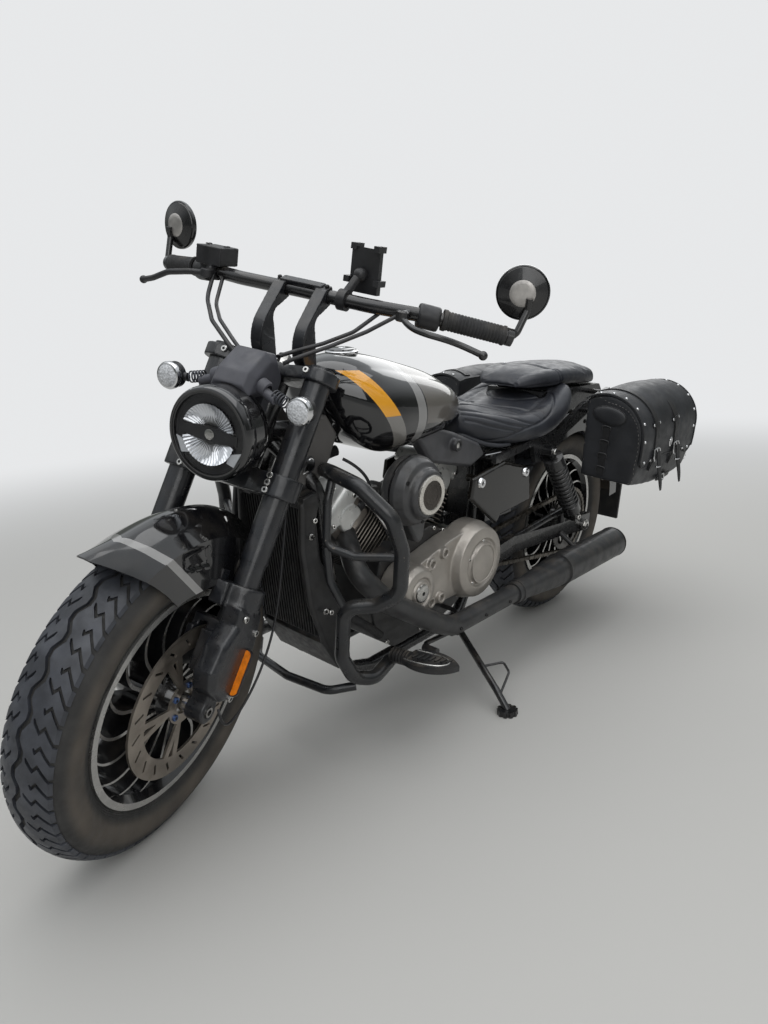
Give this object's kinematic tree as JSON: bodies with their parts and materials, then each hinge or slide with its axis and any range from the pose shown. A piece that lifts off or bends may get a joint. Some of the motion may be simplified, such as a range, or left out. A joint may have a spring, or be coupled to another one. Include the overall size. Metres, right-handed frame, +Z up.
{
  "type": "cruiser motorcycle",
  "caption": "V-twin cruiser motorcycle leaning on its side stand, with engine guards, round headlight, bladed wheels, leather seat and saddlebags.",
  "frame": {"origin": "floor level, below the middle of the overall box, parked on the side stand", "axes": "+X towards the front, +Y to the left side, where the side stand is, +Z up"},
  "size_m": [2.2215, 0.8562, 1.2747],
  "materials": {
    "bright": "satin",
    "chain": "oiled",
    "disc": "satin",
    "engine_black": "matte",
    "exhaust_black": "satin",
    "fork_black": "satin",
    "frame_black": "semi gloss",
    "gloss_black": "gloss",
    "leather": "grained",
    "lens": "clear",
    "plastic_black": "matte",
    "plastic_gloss": "gloss",
    "radiator": "matte",
    "red_lens": "gloss",
    "rubber": "matte",
    "silver_cast": "satin",
    "tyre": "dusty",
    "wheel_black": "gloss, machined edges"
  },
  "bodies": {
    "frame": {"drive_chain": "chain", "drive_sprocket": "chain", "main_frame": "frame_black", "cradle": "frame_black", "seat_rails": "frame_black", "swingarm": "frame_black", "rear_axle": "bright", "rear_shocks": "frame_black", "radiator": "radiator", "radiator_shrouds": "plastic_black", "cylinders": "engine_black", "head_covers": "bright", "crankcase": "engine_black", "engine_covers": "silver_cast", "air_cleaner": "plastic_black", "exhaust_pipes": "exhaust_black", "mufflers": "exhaust_black", "fuel_tank": "gloss_black", "rider_seat": "leather", "pillion_seat": "leather", "rear_fender": "gloss_black", "plate_bracket": "plastic_black", "number_plate": "bright", "tail_lights": "red_lens", "battery_box": "plastic_black", "side_covers": "gloss_black", "frame_covers": "frame_black", "crash_bar_left": "frame_black", "crash_bar_right": "frame_black", "crash_bar_cross": "frame_black", "foot_boards": "rubber", "foot_levers": "frame_black", "saddlebag_left": "leather", "saddlebag_right": "leather", "stand_bracket": "frame_black"},
    "steering": {"triple_clamps": "fork_black", "fork_tubes": "fork_black", "fork_lower_legs": "fork_black", "front_axle": "bright", "front_fender": "gloss_black", "front_caliper": "fork_black", "headlight": "plastic_gloss", "gauge_cowl": "plastic_black", "front_signals": "lens", "handlebar": "frame_black", "grips": "rubber", "bar_risers": "fork_black", "hand_controls": "frame_black", "mirrors": "plastic_black", "phone_holder": "plastic_black", "control_cables": "rubber"},
    "front_wheel": {"front_tyre": "tyre", "front_wheel": "wheel_black", "front_brake_disc": "disc"},
    "rear_wheel": {"rear_tyre": "tyre", "rear_wheel": "wheel_black", "rear_brake_disc": "disc", "rear_sprocket": "chain"},
    "side_stand": {"side_stand": "frame_black"}
  },
  "joints": [
    {"name": "steering_turn", "type": "hinge", "parent": "frame", "child": "steering", "pos_m": [0.56563, -0.02883, 0.68287], "axis": [-0.4639, 0.1075, 0.8793], "range_deg": [-51.3, 12.7]},
    {"name": "front_wheel_spin", "type": "hinge", "parent": "steering", "child": "front_wheel", "pos_m": [0.80096, -0.06164, 0.3116], "axis": [-0.2928, 0.9182, -0.2667], "continuous": true},
    {"name": "rear_wheel_spin", "type": "hinge", "parent": "frame", "child": "rear_wheel", "pos_m": [-0.70714, -0.07304, 0.32126], "axis": [0, 0.9926, -0.1213], "continuous": true},
    {"name": "side_stand_fold", "type": "hinge", "parent": "frame", "child": "side_stand", "pos_m": [-0.06358, 0.02705, 0.15106], "axis": [-0.2833, 0.9004, 0.3303], "range_deg": [0, 100]}
  ]
}
